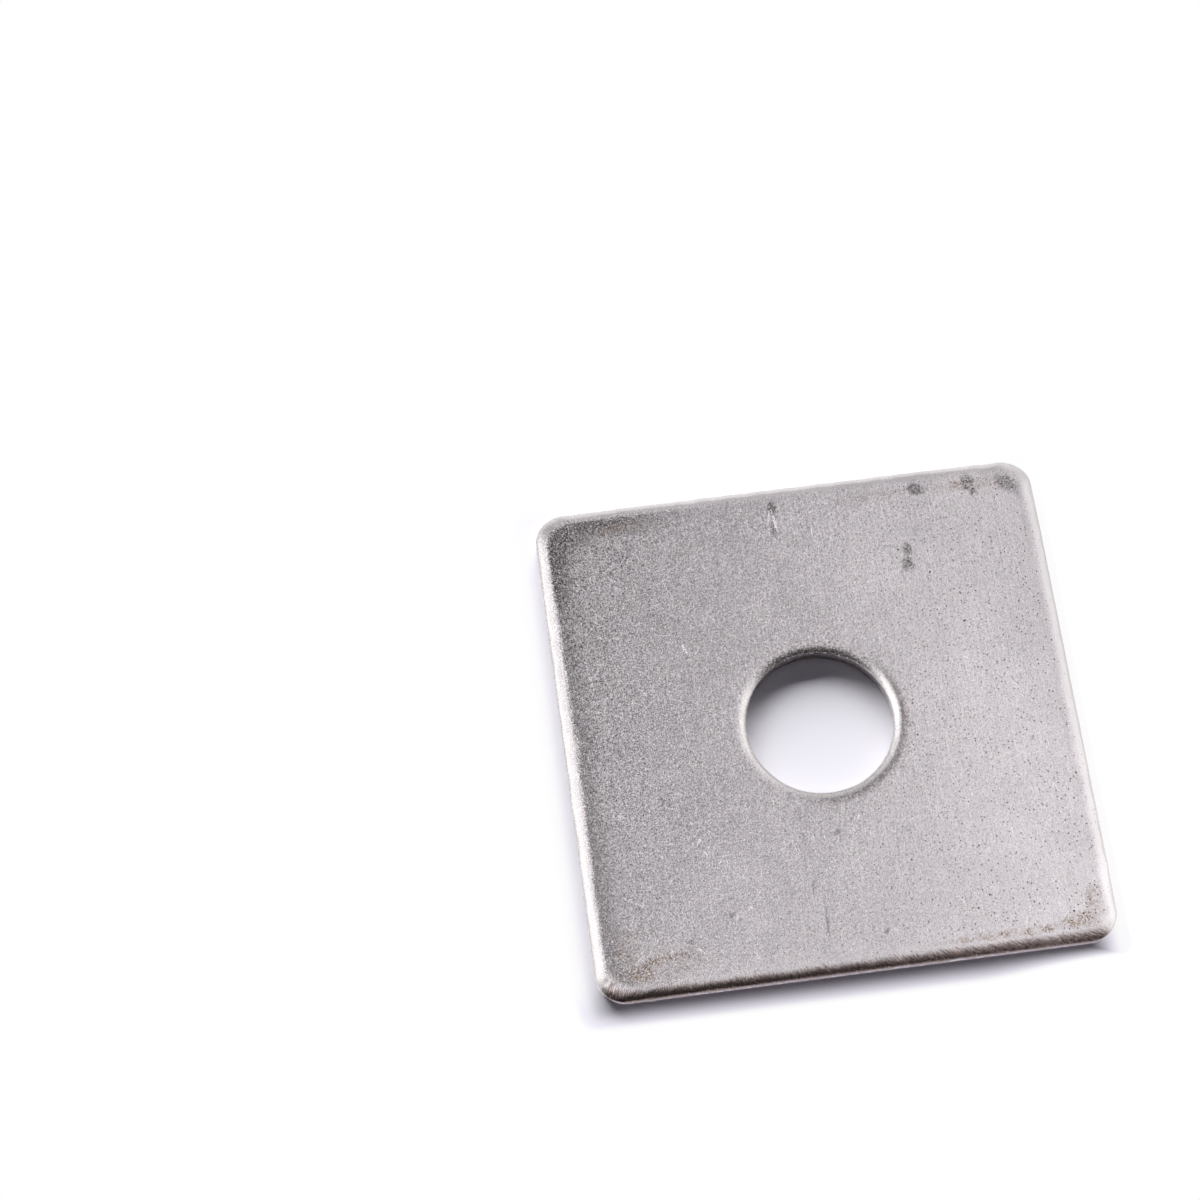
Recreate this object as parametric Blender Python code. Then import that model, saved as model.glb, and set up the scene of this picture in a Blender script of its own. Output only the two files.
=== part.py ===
"""Square plate washer, blanked and pierced from annealed stainless sheet.

Metres, +Z up. The origin is the middle of the underside, the flat face that bears on the
material being clamped. The washer is one piece of metal, so it is one object.

One stroke of a compound die cuts the outline and the bolt hole together, and both cuts have
the same form from the upper face down: the face is drawn down into a rolled edge, a
burnished band stands square to the face, and the torn wall below it leans back into the
metal as far as the small broken edge round the underside.
"""

import math

import bmesh
import bpy
from mathutils import Matrix, Vector

# Plate
PLATE_SIDE = 0.0500
PLATE_THICKNESS = 0.0025
CORNER_RADIUS = 0.0029
BOLT_HOLE_DIAMETER = 0.0143

# Rolled edge of the outline, which is wider and deeper at the corners
EDGE_ROLL_WIDTH = 0.0015
EDGE_ROLL_DEPTH = 0.00075
CORNER_EXTRA_WIDTH = 0.00055
CORNER_EXTRA_DEPTH = 0.00015
CORNER_FADE_LENGTH = 0.0060

# Rolled edge of the bolt hole
HOLE_ROLL_WIDTH = 0.00115
HOLE_ROLL_DEPTH = 0.00062

# Cut wall below both rolled edges
BURNISHED_HEIGHT = 0.0006
EDGE_TEAR_LEAN = 0.0002
HOLE_TEAR_LEAN = 0.00012
UNDERSIDE_BREAK = 0.00012

# Facets
ROLL_END_ANGLE = math.radians(75.0)
ROLL_STEPS = 7
CORNER_STEPS = 8
SIDE_STEPS = 16
SMOOTH_ANGLE = math.radians(25.0)

QUARTER_TURN = math.pi / 2.0
HOLE_STEPS = 4 * (CORNER_STEPS + SIDE_STEPS)


def cut_wall(roll_width, roll_depth, tear_lean):
    """Return the cut's section as (inset into the metal, height), from upper face down."""
    across = math.sin(ROLL_END_ANGLE)
    down = 1.0 - math.cos(ROLL_END_ANGLE)
    section = []
    for step in range(ROLL_STEPS + 1):
        angle = ROLL_END_ANGLE * step / ROLL_STEPS
        inset = roll_width * (1.0 - math.sin(angle) / across)
        drop = roll_depth * (1.0 - math.cos(angle)) / down
        section.append((inset, PLATE_THICKNESS - drop))
    section.append((0.0, PLATE_THICKNESS - roll_depth - BURNISHED_HEIGHT))
    section.append((tear_lean, UNDERSIDE_BREAK))
    section.append((tear_lean + UNDERSIDE_BREAK, 0.0))
    return section


def corner_radius_at(inset, height):
    """Return the outline's corner radius: an offset curve, wider where the corner rolls in."""
    radius = CORNER_RADIUS - inset
    if height > PLATE_THICKNESS - EDGE_ROLL_DEPTH:
        # A corner arc that grows by g moves its middle inward by g * (sqrt 2 - 1)
        growth = CORNER_EXTRA_WIDTH / (math.sqrt(2.0) - 1.0)
        radius += growth * inset / EDGE_ROLL_WIDTH
    return radius


def outline_ring(bm, inset, radius, side_height, corner_height):
    """Add one closed ring of vertices round the plate and return them in order.

    The ring is a square with round corners. Its height passes smoothly from
    side_height to corner_height over CORNER_FADE_LENGTH at each end of a side.
    """
    half = PLATE_SIDE / 2.0 - inset
    straight = half - radius
    quarter = []
    for step in range(SIDE_STEPS):
        along = straight * (2.0 * step / SIDE_STEPS - 1.0)
        from_corner = min((straight - abs(along)) / CORNER_FADE_LENGTH, 1.0)
        share = 0.5 + 0.5 * math.cos(math.pi * from_corner)
        height = side_height + share * (corner_height - side_height)
        quarter.append(Vector((half, along, height)))
    for step in range(CORNER_STEPS):
        angle = QUARTER_TURN * step / CORNER_STEPS
        x = straight + radius * math.cos(angle)
        y = straight + radius * math.sin(angle)
        quarter.append(Vector((x, y, corner_height)))

    verts = []
    for side in range(4):
        turn = Matrix.Rotation(QUARTER_TURN * side, 3, "Z")
        verts.extend(bm.verts.new(turn @ point) for point in quarter)
    return verts


def add_outline_wall(bm):
    """Skin the outline's cut wall, ring by ring from the upper face to the underside."""
    side = cut_wall(EDGE_ROLL_WIDTH, EDGE_ROLL_DEPTH, EDGE_TEAR_LEAN)
    corner_depth = EDGE_ROLL_DEPTH + CORNER_EXTRA_DEPTH
    corner = cut_wall(EDGE_ROLL_WIDTH, corner_depth, EDGE_TEAR_LEAN)
    rings = []
    for (inset, side_height), (_, corner_height) in zip(side, corner):
        radius = corner_radius_at(inset, side_height)
        rings.append(outline_ring(bm, inset, radius, side_height, corner_height))
    for upper, lower in zip(rings, rings[1:]):
        for here in range(len(upper)):
            before = here - 1
            bm.faces.new((upper[before], upper[here], lower[here], lower[before]))


def add_hole_wall(bm):
    """Spin the bolt hole's cut wall about the plate's axis."""
    section = cut_wall(HOLE_ROLL_WIDTH, HOLE_ROLL_DEPTH, HOLE_TEAR_LEAN)
    radius = BOLT_HOLE_DIAMETER / 2.0
    verts = [bm.verts.new((radius + inset, 0.0, height)) for inset, height in section]
    edges = [bm.edges.new(pair) for pair in zip(verts, verts[1:])]
    bmesh.ops.spin(
        bm,
        geom=verts + edges,
        axis=(0.0, 0.0, 1.0),
        angle=4.0 * QUARTER_TURN,
        steps=HOLE_STEPS,
        use_merge=True,
    )


def add_flat_faces(bm):
    """Fill the upper face and the underside, each between its outline and the hole's rim."""
    open_edges = [edge for edge in bm.edges if edge.is_boundary]
    for height in (PLATE_THICKNESS, 0.0):
        rims = [
            edge
            for edge in open_edges
            if abs(edge.verts[0].co.z - height) < UNDERSIDE_BREAK / 2.0
        ]
        bmesh.ops.triangle_fill(bm, edges=rims, use_beauty=True)


def stainless_sheet():
    """Return the material: matt grey stainless, tumbled after blanking."""
    material = bpy.data.materials.new("stainless_sheet")
    material.use_nodes = True
    shader = material.node_tree.nodes["Principled BSDF"]
    shader.inputs["Base Color"].default_value = (0.50, 0.49, 0.48, 1.0)
    shader.inputs["Metallic"].default_value = 1.0
    shader.inputs["Roughness"].default_value = 0.42
    return material


def make_plate():
    """Build the washer as one closed body."""
    bm = bmesh.new()
    add_outline_wall(bm)
    add_hole_wall(bm)
    add_flat_faces(bm)
    bmesh.ops.recalc_face_normals(bm, faces=bm.faces)
    mesh = bpy.data.meshes.new("plate")
    bm.to_mesh(mesh)
    bm.free()
    mesh.shade_smooth()
    mesh.set_sharp_from_angle(angle=SMOOTH_ANGLE)
    mesh.materials.append(stainless_sheet())
    plate = bpy.data.objects.new("plate", mesh)
    bpy.context.scene.collection.objects.link(plate)
    return plate


def clear_scene():
    """Remove the objects that the scene starts with."""
    for old in list(bpy.data.objects):
        bpy.data.objects.remove(old, do_unlink=True)


clear_scene()
make_plate()
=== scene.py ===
"""Looks of a square plate washer: one piece of stainless sheet, blanked, pierced and tumbled.

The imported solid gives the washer's place and size. Its surface is made again here as one fine
closed skin, which has what the plain solid leaves out: the waver of the rolled edges, the
scored burnished band, the torn wall under it, nicks, dents and the slight dish of the face.
Lengths are in metres, +Z is up and the washer lies on the floor at zero height.
"""

import logging
import math
from dataclasses import dataclass
from enum import Enum
from functools import reduce

import bpy
import numpy as np
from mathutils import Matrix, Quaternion, Vector


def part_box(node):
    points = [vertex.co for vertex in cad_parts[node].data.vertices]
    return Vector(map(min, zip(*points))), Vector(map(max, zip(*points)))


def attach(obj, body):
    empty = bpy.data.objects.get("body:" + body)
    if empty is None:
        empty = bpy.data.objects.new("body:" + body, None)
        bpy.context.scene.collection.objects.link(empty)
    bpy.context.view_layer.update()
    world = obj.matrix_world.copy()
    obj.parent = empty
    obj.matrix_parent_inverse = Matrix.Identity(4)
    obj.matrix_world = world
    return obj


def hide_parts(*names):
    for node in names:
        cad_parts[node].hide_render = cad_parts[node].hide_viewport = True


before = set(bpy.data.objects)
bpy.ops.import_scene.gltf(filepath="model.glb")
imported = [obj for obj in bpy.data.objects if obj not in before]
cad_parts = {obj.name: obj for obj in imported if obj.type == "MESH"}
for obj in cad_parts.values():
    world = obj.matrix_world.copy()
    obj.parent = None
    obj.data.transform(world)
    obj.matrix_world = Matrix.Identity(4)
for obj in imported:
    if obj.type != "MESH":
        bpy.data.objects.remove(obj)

LOG = logging.getLogger("washer")

Pair = tuple[float, float]
Triple = tuple[float, float, float]
Colour = tuple[float, float, float, float]

MM = 0.001
CAD_NODE = "plate"
CAD_BODY = "root"

# Photograph
IMAGE_SIDE = 1200
FILM_WIDTH = 36.0

# The turn at which a roll ends, and the least one that is shaded as a crease
ROLL_END = math.radians(75.0)
CREASE = math.radians(40.0)

WHITE: Colour = (1.0, 1.0, 1.0, 1.0)
HALF: Triple = (0.5, 0.5, 0.5)

# What a vector is multiplied by to keep its x and y alone
FLAT: Triple = (1.0, 1.0, 0.0)


# Shader maths


class Field:
    """A number that changes over a surface, on which Python's operators add Math nodes."""

    def __init__(self, graph: "Graph", socket: bpy.types.NodeSocket) -> None:
        """Wrap an output socket of a graph's node."""
        self.graph = graph
        self.socket = socket

    def _math(self, operation: str, first: "Number", second: "Number" = 0.0) -> "Field":
        """Add one Math node and wrap what it gives."""
        made = self.graph.node("ShaderNodeMath", {"operation": operation}, {0: first, 1: second})
        return Field(self.graph, made.outputs[0])

    def __add__(self, other: "Number") -> "Field":
        """Sum."""
        return self._math("ADD", self, other)

    __radd__ = __add__

    def __sub__(self, other: "Number") -> "Field":
        """Difference."""
        return self._math("SUBTRACT", self, other)

    def __rsub__(self, other: "Number") -> "Field":
        """Difference with the number first."""
        return self._math("SUBTRACT", other, self)

    def __mul__(self, other: "Number") -> "Field":
        """Product."""
        return self._math("MULTIPLY", self, other)

    __rmul__ = __mul__

    def __abs__(self) -> "Field":
        """Size without the sign."""
        return self._math("ABSOLUTE", self)

    def most(self, other: "Number") -> "Field":
        """The larger of two."""
        return self._math("MAXIMUM", self, other)

    def ease(self, start: float, end: float, low: float = 0.0, high: float = 1.0) -> "Field":
        """Pass smoothly from low, where this is start, to high, where it is end.

        Args:
            start: value at which the result is low.
            end: value at which the result is high; it may be below start.
            low: result up to start.
            high: result from end on.

        Returns:
            low + (high - low) * t * t * (3 - 2 t), with t running from 0 to 1 between the two.
        """
        if end < start:
            start, end, low, high = end, start, high, low
        made = self.graph.node(
            "ShaderNodeMapRange",
            {"interpolation_type": "SMOOTHSTEP", "clamp": True},
            {"Value": self, "From Min": start, "From Max": end, "To Min": low, "To Max": high},
        )
        return Field(self.graph, made.outputs[0])


Number = Field | float


class Graph:
    """The nodes of one material or world, all added by one method."""

    def __init__(self, tree: bpy.types.NodeTree) -> None:
        """Empty the tree and keep it."""
        tree.nodes.clear()
        self.tree = tree

    def node(
        self,
        kind: str,
        settings: dict[str, object] | None = None,
        inputs: dict[int | str, object] | None = None,
    ) -> bpy.types.Node:
        """Add one node.

        Args:
            kind: the node's type name.
            settings: the node's own settings, made before its sockets are fed.
            inputs: for each socket, by name or place, a value, a Field or a socket to link.

        Returns:
            The new node.
        """
        made = self.tree.nodes.new(kind)
        for name, value in (settings or {}).items():
            setattr(made, name, value)
        for name, value in (inputs or {}).items():
            source = value.socket if isinstance(value, Field) else value
            if isinstance(source, bpy.types.NodeSocket):
                self.tree.links.new(source, made.inputs[name])
            else:
                made.inputs[name].default_value = source
        return made

    def surface(self, shader: bpy.types.Node) -> None:
        """Show a shader on the material."""
        self.node("ShaderNodeOutputMaterial", {}, {"Surface": shader.outputs[0]})

    def place_on_object(self) -> bpy.types.NodeSocket:
        """Read the place on the object."""
        return self.node("ShaderNodeTexCoord").outputs["Object"]

    def attribute(self, name: str) -> Field:
        """Read one of the mesh's own numbers."""
        return Field(self, self.node("ShaderNodeAttribute", {"attribute_name": name}).outputs["Fac"])

    def combine(self, operation: str, *inputs: object) -> bpy.types.NodeSocket:
        """Work out a vector from vectors."""
        made = self.node("ShaderNodeVectorMath", {"operation": operation}, dict(enumerate(inputs)))
        return made.outputs["Vector"]

    def measure(self, operation: str, *inputs: object) -> Field:
        """Work out a number from vectors, such as a length."""
        made = self.node("ShaderNodeVectorMath", {"operation": operation}, dict(enumerate(inputs)))
        return Field(self, made.outputs["Value"])

    def axes(self, vector: bpy.types.NodeSocket) -> list[Field]:
        """Split a vector into its x, y and z."""
        parts = self.node("ShaderNodeSeparateXYZ", {}, {"Vector": vector})
        return [Field(self, part) for part in parts.outputs]

    def grey(self, level: Field) -> bpy.types.NodeSocket:
        """Make a number a grey colour."""
        return self.node("ShaderNodeCombineColor", {}, {0: level, 1: level, 2: level}).outputs[0]

    def tint(
        self, factor: Number, first: object, second: object, blend: str = "MIX"
    ) -> bpy.types.NodeSocket:
        """Mix two colours.

        Args:
            factor: 0 gives the first and 1 the second.
            first: a colour, or a socket that gives one.
            second: the same.
            blend: how the second is laid over the first.

        Returns:
            The socket of the mixed colour.
        """
        made = self.node(
            "ShaderNodeMix",
            {"data_type": "RGBA", "blend_type": blend, "clamp_factor": True},
            {0: factor, 6: first, 7: second},
        )
        return made.outputs[2]

    def place(self, vector: bpy.types.NodeSocket, **move: Triple) -> bpy.types.NodeSocket:
        """Turn, move or stretch a pattern's coordinates with a Mapping node.

        Args:
            vector: coordinates in metres.
            move: where the pattern is moved (at), its angles (turn) and its stretch (size).

        Returns:
            The socket of the pattern's own coordinates.
        """
        names = {"at": "Location", "turn": "Rotation", "size": "Scale"}
        inputs = {names[name]: value for name, value in move.items()}
        made = self.node("ShaderNodeMapping", {"vector_type": "TEXTURE"}, {"Vector": vector, **inputs})
        return made.outputs["Vector"]

    def noise(self, vector: bpy.types.NodeSocket, size: float, detail: float, roughness: float) -> Field:
        """Make cloudy noise.

        Args:
            vector: coordinates in metres.
            size: size of the largest clouds.
            detail: how many finer layers are added.
            roughness: how strong each finer layer is beside the last.

        Returns:
            The noise about 0, mostly between -0.5 and 0.5.
        """
        made = self.node(
            "ShaderNodeTexNoise",
            {"noise_dimensions": "3D"},
            {"Vector": vector, "Scale": 1.0 / size, "Detail": detail, "Roughness": roughness},
        )
        return (Field(self, made.outputs[0]) - 0.5) * 2.0

    def cells(
        self, vector: bpy.types.NodeSocket, spacing: float, dimensions: str = "3D"
    ) -> bpy.types.Node:
        """Add a pattern of scattered cells.

        Args:
            vector: coordinates in metres.
            spacing: distance between the cells.
            dimensions: 3D, or 2D for cells that reach through the sheet.

        Returns:
            The node, whose colour is a random draw for each cell.
        """
        return self.node(
            "ShaderNodeTexVoronoi",
            {"feature": "F1", "voronoi_dimensions": dimensions},
            {"Vector": vector, "Scale": 1.0 / spacing},
        )

    def drawn(self, cells: bpy.types.Node, channel: str, share: float) -> Field:
        """Draw a share of the cells by one channel of their colour: 1 in them, 0 in the others."""
        parts = self.node("ShaderNodeSeparateColor", {}, {"Color": cells.outputs["Color"]})
        return Field(self, parts.outputs[channel]).ease(share + 0.02, share - 0.02)

    def specks(
        self, vector: bpy.types.NodeSocket, spacing: float, share: float, core: float, edge: float
    ) -> Field:
        """Put a round speck in a share of the cells: 1 as far as core, and 0 from edge on."""
        cells = self.cells(vector, spacing)
        return Field(self, cells.outputs["Distance"]).ease(edge, core) * self.drawn(cells, "Red", share)

    def facets(self, vector: bpy.types.NodeSocket, size: float) -> Field:
        """Make small flat facets, each tilted its own way by about 1 in 3.

        Args:
            vector: coordinates in metres.
            size: size of a facet.

        Returns:
            The height, which is the distance from a cell's middle times the cell's own tilt.
        """
        cells = self.cells(vector, size)
        reach = self.combine("SUBTRACT", vector, cells.outputs["Position"])
        tilt = self.combine("SUBTRACT", cells.outputs["Color"], HALF)
        return self.measure("DOT_PRODUCT", reach, tilt)

    def hairs(
        self, vector: bpy.types.NodeSocket, spacing: float, share: float, length: float, width: float
    ) -> Field:
        """Scatter short straight scratches.

        Each cell of a flat pattern may hold one scratch through its middle, whose heading is
        drawn with the cell.

        Args:
            vector: coordinates in metres.
            spacing: distance between the cells.
            share: share of the cells that hold a scratch.
            length: a scratch's whole length.
            width: a scratch's whole width.

        Returns:
            1 along a scratch and 0 between them.
        """
        cells = self.cells(vector, spacing, "2D")
        reach = self.combine("SUBTRACT", vector, cells.outputs["Position"])
        flat = self.combine("MULTIPLY", reach, FLAT)
        draw = self.combine("MULTIPLY_ADD", cells.outputs["Color"], FLAT, (-0.5, -0.5, 0.0))
        across = self.combine("NORMALIZE", draw)
        line = abs(self.measure("DOT_PRODUCT", flat, across)).ease(width / 2.0, width / 8.0)
        reached = self.measure("LENGTH", flat).ease(length / 2.0, length / 4.0)
        return line * reached * self.drawn(cells, "Blue", share)


def new_material(name: str) -> tuple[bpy.types.Material, Graph]:
    """Start a material.

    Args:
        name: the material's name.

    Returns:
        The material and its empty graph.
    """
    made = bpy.data.materials.new(name)
    made.use_nodes = True
    return made, Graph(made.node_tree)


@dataclass(frozen=True)
class Ramp:
    """A soft bound across the face.

    Attributes:
        start: distance in millimetres at which it begins.
        full: distance at which it reaches 1; it may be below start.
        x: share of x in that distance.
        y: share of y in it.
        least: what it begins at.
    """

    start: float
    full: float
    x: float = 0.0
    y: float = 0.0
    least: float = 0.0

    def over(self, x: Field, y: Field) -> Field:
        """Pass smoothly up to 1, as x and y, each times its share, add up to the distance."""
        return (self.x * x + self.y * y).ease(self.start * MM, self.full * MM, self.least)


@dataclass(frozen=True)
class Zone:
    """A part of the face where a number is larger or smaller than elsewhere.

    Attributes:
        level: what the number is multiplied by where the zone is full.
        bounds: the ramps that bound the zone.
    """

    level: float
    bounds: tuple[Ramp, ...]


def within(bounds: tuple[Ramp, ...], x: Field, y: Field) -> Field:
    """Return the product of the ramps: 1 inside all the bounds."""
    return math.prod(ramp.over(x, y) for ramp in bounds)


def graded(number: Number, zones: tuple[Zone, ...], x: Field, y: Field) -> Number:
    """Grade a number over the face.

    Args:
        number: the number where there is no zone.
        zones: the zones, which may overlap.
        x: place along X.
        y: place along Y.

    Returns:
        The number times 1 + (level - 1) * (product of the bounds), for each zone.
    """
    for zone in zones:
        number = number * (1.0 + (zone.level - 1.0) * within(zone.bounds, x, y))
    return number


# Unevenness


@dataclass(frozen=True)
class Waves:
    """Unevenness as a sum of cosine waves, with seeded lengths, headings and phases.

    Attributes:
        shortest: shortest wavelength.
        longest: longest wavelength.
        count: how many waves are added.
        seed: seed of the random draws.
    """

    shortest: float
    longest: float
    count: int
    seed: int

    def _draw(self) -> tuple[np.ndarray, np.ndarray, np.ndarray]:
        """Draw the waves.

        Returns:
            Each wave's length, even by its logarithm, its heading and its phase.
        """
        draw = np.random.default_rng(self.seed)
        lengths = np.exp(draw.uniform(math.log(self.shortest), math.log(self.longest), self.count))
        return lengths, draw.uniform(0.0, math.tau, self.count), draw.uniform(0.0, math.tau, self.count)

    def over(self, x: np.ndarray, y: np.ndarray) -> np.ndarray:
        """Work out the unevenness over a plane.

        Args:
            x: places along the first axis.
            y: places along the second.

        Returns:
            The sum over the waves of cos(2 pi * (way along the heading) / length + phase),
            divided by the root of the number of waves, mostly between -1 and 1.
        """
        total = np.zeros(np.broadcast(x, y).shape)
        for length, heading, phase in zip(*self._draw()):
            way = x * math.cos(heading) + y * math.sin(heading)
            total += np.cos(math.tau * way / length + phase)
        return total / math.sqrt(self.count)

    def along(self, way: np.ndarray, whole: float) -> np.ndarray:
        """Work out the unevenness along a closed line.

        Args:
            way: distances along the line.
            whole: the line's whole length.

        Returns:
            The same sum with the distance as the way, each wave lengthened a little, so that
            it fits the line a whole number of times.
        """
        total = np.zeros(way.shape)
        lengths, _, phases = self._draw()
        for length, phase in zip(lengths, phases):
            total += np.cos(math.tau * round(whole / length) * way / whole + phase)
        return total / math.sqrt(self.count)


@dataclass(frozen=True)
class Dent:
    """A small knock in the metal.

    Attributes:
        at: its middle.
        radius: how far it spreads.
        depth: how deep it is at its middle.
    """

    at: Triple
    radius: float
    depth: float


# Washer


@dataclass(frozen=True)
class CutEdge:
    """A blanked edge in section, from the upper face down.

    Attributes:
        roll_width: how far in from the edge the face begins to roll over.
        roll_depth: how deep the roll ends.
        burnished: height of the smooth band under the roll.
        tear_lean: how far the torn wall leans into the metal by its foot.
        foot: leg of the small broken edge round the underside.
    """

    roll_width: float
    roll_depth: float
    burnished: float
    tear_lean: float
    foot: float


@dataclass(frozen=True)
class Unevenness:
    """How far one blanked edge strays from its even section, as shares of its sizes.

    Attributes:
        roll: slow waver of the roll's width and depth.
        band: slow waver of the burnished band's height.
        jag: quick waver of the line between the band and the torn wall.
        seed: seed of the edge's random draws.
        lump: how far the torn wall's lumps stand back, as a share of its lean.
    """

    roll: float
    band: float
    jag: float
    seed: int
    lump: float = 0.35


@dataclass
class CutRows:
    """Rows of one cut edge, from the upper face down; every array is rows by columns.

    Attributes:
        inset: distance into the metal from the cut.
        height: height over the underside.
        roll: 0 on the face to 1 where the roll ends, and 1 below.
        band: 1 on the burnished band.
        tear: 1 on the torn wall.
    """

    inset: np.ndarray
    height: np.ndarray
    roll: np.ndarray
    band: np.ndarray
    tear: np.ndarray


@dataclass
class SquareWasher:
    """The washer's skin.

    Attributes:
        side: length of the plate's sides.
        thickness: thickness of the sheet.
        corner_radius: radius of the plate's round corners.
        bore_diameter: diameter of the bolt hole.
        corner_extra: how much wider and deeper the roll is at a corner.
        corner_fade: length of side over which that fades.
        outer: section of the outline's cut.
        inner: section of the bolt hole's cut.
        outer_waver: how far the outline's cut strays from its section.
        inner_waver: the same for the bolt hole's cut.
        tail_depth: how deep the face dips towards the outline's roll.
        tail_length: length over which that dip fades into the face.
        bore_tail_depth: how deep the face dips towards the bolt hole's roll.
        bore_tail_length: length over which that dip fades into the face.
        widening: how much wider the roll is at the middle of a side, as a share of its width,
            for the sides at +X, +Y, -X and -Y.
        ripple: waves over the whole skin.
        ripple_depth: how deep they are.
        scoring: waves round the burnished band.
        score_depth: how deep they are.
        side_columns: columns along one side.
        corner_columns: columns round one corner.
        roll_rows: rows down a roll.
        band_rows: rows down a burnished band, with its upper line.
        tear_rows: rows down a torn wall, with its upper line.
        face_rows: rows over the face.
        underside_rows: rows over the underside.
        dents: the knocks along the near side.
    """

    side: float
    thickness: float
    corner_radius: float = 2.9 * MM
    bore_diameter: float = 14.3 * MM
    corner_extra: Pair = (0.55 * MM, 0.15 * MM)
    corner_fade: float = 6.0 * MM
    outer: CutEdge = CutEdge(1.5 * MM, 0.75 * MM, 0.6 * MM, 0.2 * MM, 0.12 * MM)
    inner: CutEdge = CutEdge(1.08 * MM, 0.62 * MM, 0.6 * MM, 0.12 * MM, 0.12 * MM)
    outer_waver: Unevenness = Unevenness(roll=0.06, band=0.22, jag=0.16, seed=11)
    inner_waver: Unevenness = Unevenness(roll=0.05, band=0.18, jag=0.14, seed=23)
    tail_depth: float = 0.08 * MM
    tail_length: float = 1.8 * MM
    bore_tail_depth: float = 0.03 * MM
    bore_tail_length: float = 0.9 * MM
    widening: tuple[float, float, float, float] = (0.0, 0.0, 0.2, 0.0)
    ripple: Waves = Waves(2.5 * MM, 9.0 * MM, count=40, seed=31)
    ripple_depth: float = 0.003 * MM
    scoring: Waves = Waves(0.3 * MM, 0.9 * MM, count=60, seed=37)
    score_depth: float = 0.012 * MM
    side_columns: int = 328
    corner_columns: int = 40
    roll_rows: int = 13
    band_rows: int = 5
    tear_rows: int = 6
    face_rows: int = 16
    underside_rows: int = 3
    dents: tuple[Dent, ...] = (
        Dent((-24.0 * MM, -23.0 * MM, 2.2 * MM), 0.30 * MM, 0.07 * MM),
        Dent((-23.5 * MM, -23.5 * MM, 2.2 * MM), 0.26 * MM, 0.08 * MM),
        Dent((-22.8 * MM, -23.3 * MM, 2.3 * MM), 0.30 * MM, 0.06 * MM),
        Dent((-22.3 * MM, -23.7 * MM, 2.3 * MM), 0.24 * MM, 0.07 * MM),
        Dent((-21.6 * MM, -23.5 * MM, 2.4 * MM), 0.28 * MM, 0.05 * MM),
        Dent((-6.8 * MM, -24.9 * MM, 1.2 * MM), 0.30 * MM, 0.06 * MM),
        Dent((2.0 * MM, -24.9 * MM, 1.15 * MM), 0.25 * MM, 0.06 * MM),
        Dent((9.5 * MM, -24.9 * MM, 1.2 * MM), 0.30 * MM, 0.05 * MM),
    )

    def stations(self) -> tuple[np.ndarray, np.ndarray, np.ndarray]:
        """Lay the columns round the outline, counterclockwise from one end of the side at +X.

        Returns:
            For each column its share of the way along a straight side, from -1 to 1, its angle
            round a corner, and how many quarter turns its side stands from +X.
        """
        straight = np.linspace(-1.0, 1.0, self.side_columns, endpoint=False)
        bend = np.linspace(0.0, math.pi / 2.0, self.corner_columns, endpoint=False)
        share = np.concatenate([straight, np.ones(self.corner_columns)])
        angle = np.concatenate([np.zeros(self.side_columns), bend])
        quarter = np.repeat(np.arange(4), len(share))
        return np.tile(share, 4), np.tile(angle, 4), quarter

    def outline(self, inset: np.ndarray, spread: np.ndarray) -> tuple[np.ndarray, np.ndarray]:
        """Place rows round the plate.

        Each row is a square with round corners whose sides lie inset in from the plate's. A
        corner's arc has the plate's corner radius less the inset plus the spread, and the
        straight sides are shorter by the spread.

        Args:
            inset: distance in from the plate's sides, rows by columns.
            spread: how much wider than an offset curve each corner is, rows by columns.

        Returns:
            The x and y of every point.
        """
        share, angle, quarter = self.stations()
        straight = self.side / 2.0 - self.corner_radius - spread
        radius = self.corner_radius - inset + spread
        out = straight + radius * np.cos(angle)
        across = share * straight + radius * np.sin(angle)
        turn = quarter * math.pi / 2.0
        return out * np.cos(turn) - across * np.sin(turn), out * np.sin(turn) + across * np.cos(turn)

    def way_round(self) -> tuple[np.ndarray, float]:
        """Measure the outline.

        Returns:
            Each column's distance round the outline, and the whole distance.
        """
        zero = np.zeros((1, 4 * (self.side_columns + self.corner_columns)))
        x, y = self.outline(zero, zero)
        step = np.hypot(np.roll(x, -1) - x, np.roll(y, -1) - y)[0]
        return np.cumsum(step) - step, float(step.sum())

    def corner_share(self) -> np.ndarray:
        """Find the corners.

        Returns:
            0.5 + 0.5 * cos(pi * gap / fade), which is 1 round a corner, with the gap being the
            distance to the corner along the side, up to the length of the fade.
        """
        share, _, _ = self.stations()
        straight = self.side / 2.0 - self.corner_radius
        gap = np.minimum((1.0 - np.abs(share)) * straight / self.corner_fade, 1.0)
        return 0.5 + 0.5 * np.cos(math.pi * gap)

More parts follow.
